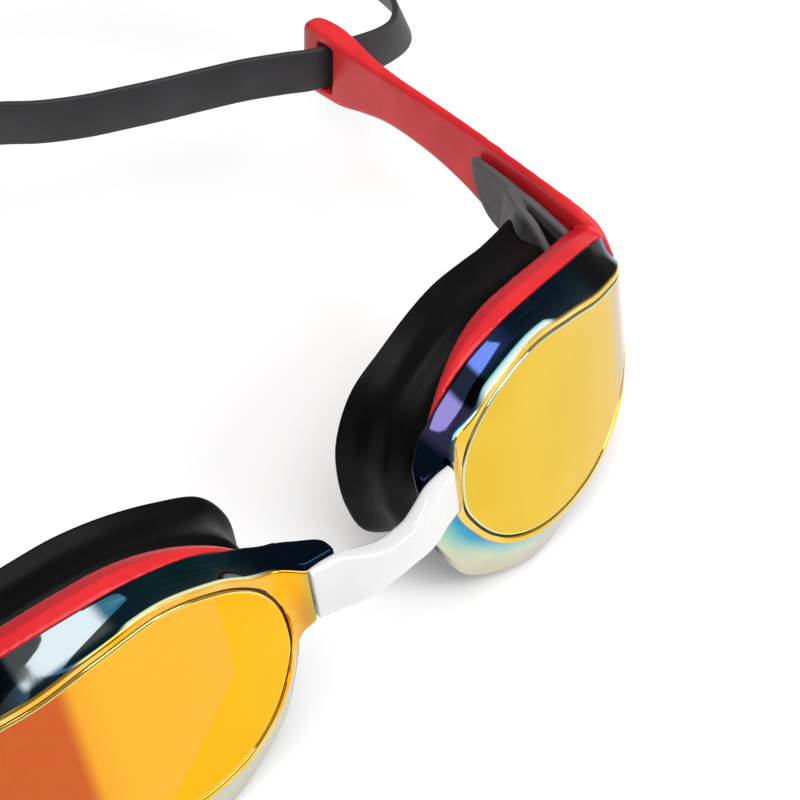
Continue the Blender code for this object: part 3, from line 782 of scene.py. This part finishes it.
def gold_plate_paint(name, side):
    """Gold mirror coat. The right plate is deeper, and turns to copper towards its temple."""
    paint = Paint(name, 0.07, 1.0)
    x, z = paint.axis("X"), paint.axis("Z")
    cloud = paint.noise(45.0, 3.0)
    if side > 0:
        base = paint.mix(paint.between(cloud, 0.35, 0.75), (0.68, 0.445, 0.033), (0.72, 0.48, 0.048))
        wrapped = paint.between(x, 0.0635, 0.0678)
        base = paint.mix(wrapped, base, (0.55, 0.43, 0.24))
        base = paint.mix(paint.between(x, 0.0680, 0.0730), base, (0.60, 0.52, 0.44))
    else:
        base = paint.mix(paint.between(cloud, 0.35, 0.75), (0.84, 0.415, 0.006), (0.88, 0.46, 0.012))
        # painted sheen: a paler patch on the plate
        corner = paint.between(paint.math("SUBTRACT", z, x), 0.0300, 0.0322)
        sheen = paint.times(paint.between(x, -0.0306, -0.0316), corner)
        base = paint.mix(sheen, base, (0.84, 0.42, 0.036))
        fade = paint.between(x, -0.0490, -0.0580)
        base = paint.mix(paint.times(fade, 0.5), base, (0.74, 0.27, 0.02))
        base = paint.mix(paint.between(x, -0.0550, -0.0580), base, (0.53, 0.105, 0.024))
    marks = scratches(paint, 260.0, (0.2, 0.1, 0.6))
    base = paint.mix(paint.times(marks, 0.04), base, (0.5, 0.3, 0.05))
    # painted highlight along the plate's bevelled lip
    edge = (0.62, 0.66, 0.42) if side > 0 else (0.80, 0.66, 0.20)
    paint.set("Base Color", paint.mix(paint.mark("edge"), base, edge))
    dust = paint.between(paint.noise(900.0, 2.0), 0.35, 0.8)
    paint.set("Roughness", paint.math("ADD", paint.times(dust, 0.04), paint.scaled(marks, 0.04, 0.05)))
    return paint.material


def pod_darks(paint, side):
    """Dark blue-green walls, with painted reflections: a blue and a violet patch on the left pod, a pale
    patch and a blue glint on the right.
    """
    wall, arc, x = paint.mark("wall"), paint.mark("arc"), paint.axis("X")
    cloud = paint.noise(22.0, 3.0, paint.stretched((1.0, 0.6, 0.6)))
    if side > 0:
        tones = [(0.34, (0.004, 0.005, 0.008)), (0.46, (0.010, 0.055, 0.075)),
                 (0.54, (0.006, 0.02, 0.05)), (0.66, (0.008, 0.07, 0.09))]
    else:
        tones = [(0.34, (0.004, 0.010, 0.014)), (0.46, (0.008, 0.05, 0.06)),
                 (0.54, (0.008, 0.03, 0.06)), (0.66, (0.012, 0.07, 0.08))]
    dark = paint.ramp(cloud, tones)
    # hair lines that run round the eyecup
    lines = paint.noise(1.0, 3.0, paint.point(paint.times(arc, 26.0), paint.times(wall, 42.0)))
    dark = paint.mix(paint.times(paint.between(lines, 0.50, 0.72), 0.45), dark, (0.05, 0.17, 0.17))
    # black towards the temple, deep navy out on the nose lug
    dark = paint.mix(paint.between(arc, 1.19, 1.13), dark, (0.004, 0.005, 0.007))
    dark = paint.mix(paint.between(arc, 1.345, 1.378), dark, (0.004, 0.013, 0.032))
    if side > 0:
        # painted reflections: a blue patch, a darker gap, then a violet patch
        blue = paint.times(paint.between(x, 0.0400, 0.0350), paint.between(wall, 0.35, 0.5),
                           paint.between(x, 0.0275, 0.0295))
        dark = paint.mix(blue, dark, (0.045, 0.078, 0.25))
        reflection_gap = paint.times(paint.between(x, 0.0300, 0.0288), paint.between(x, 0.0236, 0.0248))
        dark = paint.mix(reflection_gap, dark, (0.002, 0.004, 0.010))
        violet = paint.times(paint.between(x, 0.0252, 0.0238), paint.between(x, 0.0150, 0.0175))
        return paint.mix(violet, dark, (0.085, 0.075, 0.19))
    # painted reflection: a pale patch
    pale = paint.times(paint.between(x, -0.0455, -0.0478), paint.between(x, -0.0612, -0.0598),
                       paint.between(wall, 0.1, 0.3))
    dark = paint.mix(pale, dark, (0.20, 0.235, 0.25))
    # painted glint: blue, in clouds on the front part of the wall
    glint = paint.times(paint.between(x, -0.0235, -0.0205), paint.between(wall, 0.55, 0.3),
                        paint.between(cloud, 0.45, 0.6))
    return paint.mix(glint, dark, (0.01, 0.09, 0.35))


def pod_underside(paint):
    """Painted reflection on the pod's underside: blue beside the nose, then blue-green, pale yellow and
    beige.
    """
    wall, arc = paint.mark("wall"), paint.mark("arc")
    nose = paint.ramp(wall, [(0.0, (0.02, 0.22, 0.45)), (0.3, (0.04, 0.36, 0.50)),
                             (0.65, (0.30, 0.55, 0.45)), (0.9, (0.60, 0.62, 0.42)),
                             (0.96, (0.02, 0.03, 0.08))])
    chin = paint.ramp(wall, [(0.0, (0.10, 0.42, 0.50)), (0.22, (0.24, 0.52, 0.50)),
                             (0.5, (0.56, 0.60, 0.42)), (1.0, (0.60, 0.55, 0.42))])
    cheek = paint.ramp(wall, [(0.0, (0.50, 0.48, 0.42)), (1.0, (0.56, 0.50, 0.47))])
    under = paint.mix(paint.between(arc, 0.55, 0.62), nose, chin)
    return paint.mix(paint.between(arc, 0.66, 0.73), under, cheek)


def pod_gold(paint, side):
    """Gold border; on the right pod painted shade darkens it to copper on the lower nose lug, and it turns to
    green out at the lug's tip.
    """
    plain_gold = (0.74, 0.46, 0.035) if side > 0 else (0.84, 0.40, 0.008)
    gold = paint.mix(paint.between(paint.noise(70.0, 3.0), 0.4, 0.7), plain_gold, PALE_GOLD)
    if side > 0:
        return gold
    x, z = paint.axis("X"), paint.axis("Z")
    # painted shade: darker copper on the lower part of the nose lug
    shade = paint.times(paint.between(x, -0.0200, -0.0165), paint.between(z, 0.0105, 0.002))
    gold = paint.mix(paint.times(shade, 0.8), gold, (0.50, 0.13, 0.012))
    tip = paint.between(x, -0.0178, -0.0160)
    return paint.mix(paint.times(tip, 0.7), gold, (0.42, 0.40, 0.10))


def pod_paint(name, side):
    """Mirror coat of the pod: gold on the border, dark blue-green on the walls. wall runs from 0 at the
    front edge to 1 at the back, and arc once round the eyecup, 1 at the temple and 1.2 to 1.4 on top."""
    paint = Paint(name, 0.08, 1.0, Coat_Weight=0.05, Coat_Roughness=0.03)
    front, wall, arc = paint.mark("front"), paint.mark("wall"), paint.mark("arc")
    walls = pod_darks(paint, side)
    # violet to blue-green on the corner at the temple
    corner = paint.times(paint.between(arc, 1.085, 1.070), paint.between(arc, 0.955, 0.975))
    walls = paint.mix(corner, walls, paint.ramp(wall, [
        (0.1, (0.04, 0.32, 0.36)), (0.45, (0.06, 0.13, 0.36)), (0.9, (0.13, 0.09, 0.28))]))
    # painted reflection on the underside
    below = paint.times(paint.between(arc, 0.47, 0.50), paint.between(arc, 0.94, 0.90))
    walls = paint.mix(below, walls, pod_underside(paint))
    # painted highlight: a bright strip beside the front edge, over the top of the eyecup
    fall = paint.between(arc, 1.355, 1.325) if side > 0 else paint.between(arc, 1.392, 1.35)
    span = paint.times(paint.between(arc, 1.228, 1.242), fall)
    gap = paint.math("SUBTRACT", paint.times(span, 0.20 if side > 0 else 0.08), wall)
    strip = paint.times(paint.between(gap, -0.03, 0.0), span)
    if side > 0:
        highlight = paint.mix(paint.between(gap, 0.0, 0.10), (0.16, 0.66, 0.72), (0.90, 1.0, 0.96))
        # painted highlight: its teal end at the front edge
        low_end = paint.times(paint.between(arc, 1.33, 1.35), paint.between(wall, 0.14, 0.02))
        walls = paint.mix(paint.times(low_end, 0.5), walls, (0.06, 0.42, 0.50))
    else:
        highlight = paint.mix(paint.between(gap, 0.0, 0.05), (0.55, 0.75, 0.50), (0.95, 0.92, 0.50))
    walls = paint.mix(strip, walls, highlight)
    paint.set("Base Color", paint.mix(front, walls, pod_gold(paint, side)))
    # the painted highlight strip and the corner at the temple are made less metallic
    matt = paint.math("MAXIMUM", strip, paint.times(paint.math("SUBTRACT", corner, front, True), 0.8))
    paint.set("Metallic", paint.math("SUBTRACT", 1.0, paint.times(matt, 0.85)))
    paint.set("Roughness", paint.scaled(paint.noise(800.0, 2.0), 0.06, 0.03))
    return paint.material


def groove_paint(name):
    """Nearly black painted shade for the bottom of the groove."""
    paint = Paint(name, 0.5)
    paint.set("Base Color", paint.mix(paint.noise(900.0), (0.008, 0.007, 0.006), (0.03, 0.025, 0.02)))
    return paint.material


def red_paint(name):
    """Satin red moulding with a fine mould grain; painted shade darkens the faces that turn towards the back.
    """
    paint = Paint(name, 0.34, 0.0, Coat_Weight=0.12, Coat_Roughness=0.2, Specular_IOR_Level=0.35)
    cloud = paint.noise(120.0, 4.0)
    base = paint.mix(paint.between(cloud, 0.3, 0.7), (0.72, 0.015, 0.023), (0.84, 0.024, 0.030))
    # painted shade: faces turned towards the back are darkened to crimson
    behind = paint.between(paint.facing("Y"), 0.12, 0.42)
    paint.set("Base Color", paint.mix(paint.times(behind, 0.75), base, (0.52, 0.004, 0.015)))
    paint.set("Roughness", paint.scaled(paint.noise(1500.0, 2.0), 0.16, 0.24))
    grain = paint.math("ADD", paint.noise(4200.0, 2.0), paint.times(paint.noise(700.0, 2.0), 0.5))
    paint.bump(grain, 0.12, 0.00006)
    return paint.material


def rubber(name, dark, light, roughness, grain, bump, dust=0.0, sheen=0.05, gloss=0.35):
    """Silicone or soft rubber with a fine grain and a little dust: its paint, and its colour's socket."""
    paint = Paint(name, roughness, 0.0, Sheen_Weight=sheen, Sheen_Roughness=0.5, Specular_IOR_Level=gloss)
    cloud = paint.between(paint.noise(90.0, 5.0), 0.3, 0.75)
    base = paint.mix(cloud, dark, light)
    if dust:
        specks = paint.between(paint.spots(420.0), 0.055, 0.03)
        keep = paint.between(paint.noise(160.0, 2.0), 0.55, 0.75)
        base = paint.mix(paint.times(specks, keep, dust), base, (0.5, 0.5, 0.5))
    paint.set("Base Color", base)
    paint.set("Roughness", paint.scaled(paint.noise(1100.0, 3.0), 0.18, roughness - 0.09))
    paint.bump(paint.noise(grain, 3.0), bump, 0.00008)
    return paint, base


def web_paint(name):
    """Grey soft web; between its two prongs it is painted black: painted shade for an opening onto the black
    gasket behind.
    """
    paint, base = rubber(name, (0.085, 0.080, 0.083), (0.12, 0.113, 0.116), 0.55, 1300.0, 0.25)
    y = paint.axis("Y")
    height = paint.math("SUBTRACT", paint.axis("Z"), paint.times(y, 0.133))
    # painted shade: black where an opening onto the black gasket would be
    opening_shade = paint.times(paint.between(height, 0.0056, 0.0050), paint.between(y, 0.0392, 0.0374))
    paint.set("Base Color", paint.mix(opening_shade, base, (0.002, 0.002, 0.002)))
    return paint.material


def white_paint(name):
    """Glossy white moulding with faint flow marks."""
    paint = Paint(name, 0.16, 0.0, Coat_Weight=0.5, Coat_Roughness=0.06, Subsurface_Weight=0.08)
    paint.shader.inputs["Subsurface Scale"].default_value = 0.002
    cloud = paint.between(paint.noise(70.0, 3.0, paint.stretched((0.4, 1.0, 1.0))), 0.3, 0.7)
    paint.set("Base Color", paint.mix(cloud, (0.74, 0.74, 0.755), (0.80, 0.80, 0.81)))
    paint.set("Roughness", paint.scaled(paint.noise(600.0, 2.0), 0.10, 0.10))
    paint.bump(paint.noise(300.0, 2.0), 0.03, 0.0001)
    return paint.material


def plastic_paint(name, dark, light):
    """Black moulded plastic with a spark-eroded grain."""
    paint = Paint(name, 0.38)
    paint.set("Base Color", paint.mix(paint.noise(150.0, 3.0), dark, light))
    paint.set("Roughness", paint.scaled(paint.noise(900.0, 2.0), 0.2, 0.28))
    paint.bump(paint.spots(2600.0), 0.15, 0.00005)
    return paint.material


# ---- the goggles

def dress(obj, body, paint, slot, *nodes):
    """Gives a finished piece its material and hides the CAD nodes that it stands for; a piece with one body
    is attached to it, and one given a tuple is only fixed in place. slot is not used.
    """
    obj.data.materials.clear()
    obj.data.materials.append(paint)
    if isinstance(body, tuple):
        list(body)
        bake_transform(obj)
    else:
        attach(obj, body)
    if nodes:
        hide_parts(*nodes)
    return obj


def world(x, y, z, side=1):
    """A design point in metres in the shared frame; side -1 mirrors it."""
    return tuple(float(v) for v in (np.array([side * x, y, z]) - ORIGIN) * MM)


red = red_paint("red_moulding")
black = rubber("black_seal", (0.002, 0.002, 0.0024), (0.004, 0.004, 0.005), 0.42, 1500.0, 0.10,
               dust=0.2, sheen=0.0, gloss=0.10)[0].material
silicone = rubber("strap_silicone", (0.022, 0.022, 0.025), (0.034, 0.034, 0.038), 0.55, 1700.0, 0.22,
                  dust=0.25)[0].material
grey = web_paint("grey_web")
dark_plastic = plastic_paint("clip_plastic", (0.014, 0.014, 0.015), (0.028, 0.028, 0.03))
groove = groove_paint("groove_shadow")

left = {"pod": lens_pod("lens_pod_left_shell"), "lap": lug_lap("nose_lug_left"),
        "plate": lens_plate("lens_plate_left_mirror"), "groove": groove_bed("lens_groove_left"),
        "gasket": gasket("gasket_left_seal"), "rim": rim_and_arm("rim_arm_left"),
        "lining": lining("lining_left_web")}
right = {key: mirrored(obj, obj.name.replace("left", "right")) for key, obj in left.items()}

for side, label, parts in ((1, "left", left), (-1, "right", right)):
    cup, arm = "cup_" + label, "arm_" + label
    pod = pod_paint("pod_coat_" + label, side)
    dress(parts["pod"], cup, pod, "mirror_coat", "lens_pod_" + label)
    dress(parts["lap"], cup, pod, "mirror_coat")
    plate = gold_plate_paint("plate_coat_" + label, side)
    dress(parts["plate"], cup, plate, "mirror_gold", "lens_plate_" + label)
    # painted shade: the groove's dark sheet shares the black seal's slot
    dress(parts["groove"], cup, groove, "black_rubber")
    dress(parts["gasket"], cup, black, "black_rubber", "gasket_" + label)
    bend = (cup, arm, world(74, 20.6, 0, side), world(74.6, 30.0, 0, side))
    dress(parts["rim"], bend, red, "red_plastic", "rim_" + label, "arm_" + label)
    bend = (cup, arm, world(72, 18.6, 0, side), world(73, 34.0, 0, side))
    dress(parts["lining"], bend, grey, "grey_rubber", "lining_" + label)

dress(nose_bridge("nose_bridge_body"), "bridge", white_paint("white_moulding"), "white_plastic",
      "nose_bridge")

# the strap's marks at the arms' slots, its outside bends, its inner run and the clip's two layers
left_slot, right_slot = mark_near(83.2, 88.0) + 0.5, mark_near(-75.0, 90.2) + 0.5
left_bend, right_bend = mark_near(86.0, 152.6), mark_near(-86.0, 153.4)
left_inner, right_inner = mark_near(38.5, 106.0), mark_near(-38.5, 106.0)
middle = mark_near(0.0, 125.8)
first_clip, last_clip = mark_near(14.0, REAR_Y), mark_near(-14.0, REAR_Y + LAYER)
end = len(ROUTE) - 1

dress(strap_piece("strap_first_end", 0, first_clip), "bridge", silicone, "strap_silicone", "strap")
dress(strap_piece("strap_last_end", last_clip, end), "bridge", silicone, "strap_silicone")
for side, label, rear, inner in (
        (1, "left", (first_clip, left_bend, left_slot), (left_slot, left_inner, middle)),
        (-1, "right", (last_clip, right_bend, right_slot), (right_slot, right_inner, middle))):
    cup, arm = "cup_" + label, "arm_" + label
    # name, first and last mark, then two bodies and two points on the strap
    stretches = (("rear", rear[0], rear[1], "bridge", cup, (50, 168), (84, 154)),
                 ("outer", rear[1], rear[2], cup, arm, (90, 150), (88, 92)),
                 ("inner", inner[0], inner[1], arm, cup, (74, 91), (41, 105)),
                 ("middle", inner[1], inner[2], cup, "bridge", (38, 106.2), (1, 125.6)))
    for part, first, last, body, other, start, stop in stretches:
        piece = strap_piece(f"strap_{part}_{label}", min(first, last), max(first, last))
        bend = (body, other, world(*start, 0, side), world(*stop, 0, side))
        dress(piece, bend, silicone, "strap_silicone")
    dress(keeper("keeper_loop_" + label, side), "keeper_" + label, silicone, "strap_silicone",
          "strap_keeper_" + label)

dress(clip_body("clip_channel"), "clip", dark_plastic, "clip_plastic", "clip_body")
dress(clip_cover("clip_cover_plate"), "clip", dark_plastic, "clip_plastic", "clip_cover")


# ---- studio

CAMERA_SPOT = (-126.5, -123.0, 216.3)         # design point
CAMERA_TURNS = (-47.52, 46.51, 3.18)          # azimuth, elevation and roll, degrees
FOCAL_LENGTH, SENSOR_WIDTH = 78.38, 36.0


def camera():
    """Camera above the right eyecup, turned towards the left temple."""
    azimuth, elevation, roll = (math.radians(v) for v in CAMERA_TURNS)
    right_way = Vector((math.cos(azimuth), math.sin(azimuth), 0))
    up = Vector((-math.sin(azimuth) * math.sin(elevation), math.cos(azimuth) * math.sin(elevation),
                 math.cos(elevation)))
    away = right_way.cross(up)
    turned = right_way * math.cos(roll) + up * math.sin(roll)
    up = up * math.cos(roll) - right_way * math.sin(roll)
    data = bpy.data.cameras.new("camera")
    data.lens, data.sensor_width = FOCAL_LENGTH, SENSOR_WIDTH
    data.clip_start, data.clip_end = 0.01, 20.0
    obj = bpy.data.objects.new("camera", data)
    bpy.context.scene.collection.objects.link(obj)
    aim = Matrix((turned, up, away)).transposed().to_4x4()
    obj.matrix_world = Matrix.Translation(Vector(world(*CAMERA_SPOT))) @ aim
    bpy.context.scene.camera = obj


def softbox(name, spot, target, size, power):
    """Rectangular area light that faces its target; metres and watts."""
    data = bpy.data.lights.new(name, "AREA")
    data.shape, data.size, data.size_y = "RECTANGLE", size[0], size[1]
    data.energy = power
    obj = bpy.data.objects.new(name, data)
    bpy.context.scene.collection.objects.link(obj)
    obj.location = spot
    obj.rotation_euler = (Vector(target) - Vector(spot)).to_track_quat("-Z", "Y").to_euler()


def studio():
    """Pale floor just under the goggles, white surroundings and two softboxes."""
    low = min(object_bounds()[0][2], cad_bounds[0][2])
    bpy.ops.mesh.primitive_plane_add(size=40.0, location=(0, 0, low - 0.0002))
    floor = bpy.context.object
    floor.name = "floor"
    paint = Paint("floor_paper", 0.9)
    paint.set("Base Color", paint.mix(paint.noise(30.0), (0.93, 0.93, 0.93), (0.94, 0.94, 0.94)))
    paint.set("Emission Color", (1.0, 1.0, 1.0))
    paint.set("Emission Strength", 0.2)
    floor.data.materials.append(paint.material)
    floor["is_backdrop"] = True
    around = bpy.data.worlds.new("studio")
    bpy.context.scene.world = around
    around.use_nodes = True
    back = around.node_tree.nodes["Background"]
    back.inputs["Color"].default_value = (1, 1, 1, 1)
    back.inputs["Strength"].default_value = 0.30
    softbox("key", (0.35, -0.75, 0.7), (0, 0.05, 0), (0.5, 0.5), 4.2)
    softbox("overhead", (-0.085, -0.15, 1.0), (-0.085, -0.15, 0), (0.73, 1.00), 7.7)
    view = bpy.context.scene.view_settings
    view.view_transform, view.look = "Standard", "None"


camera()
studio()
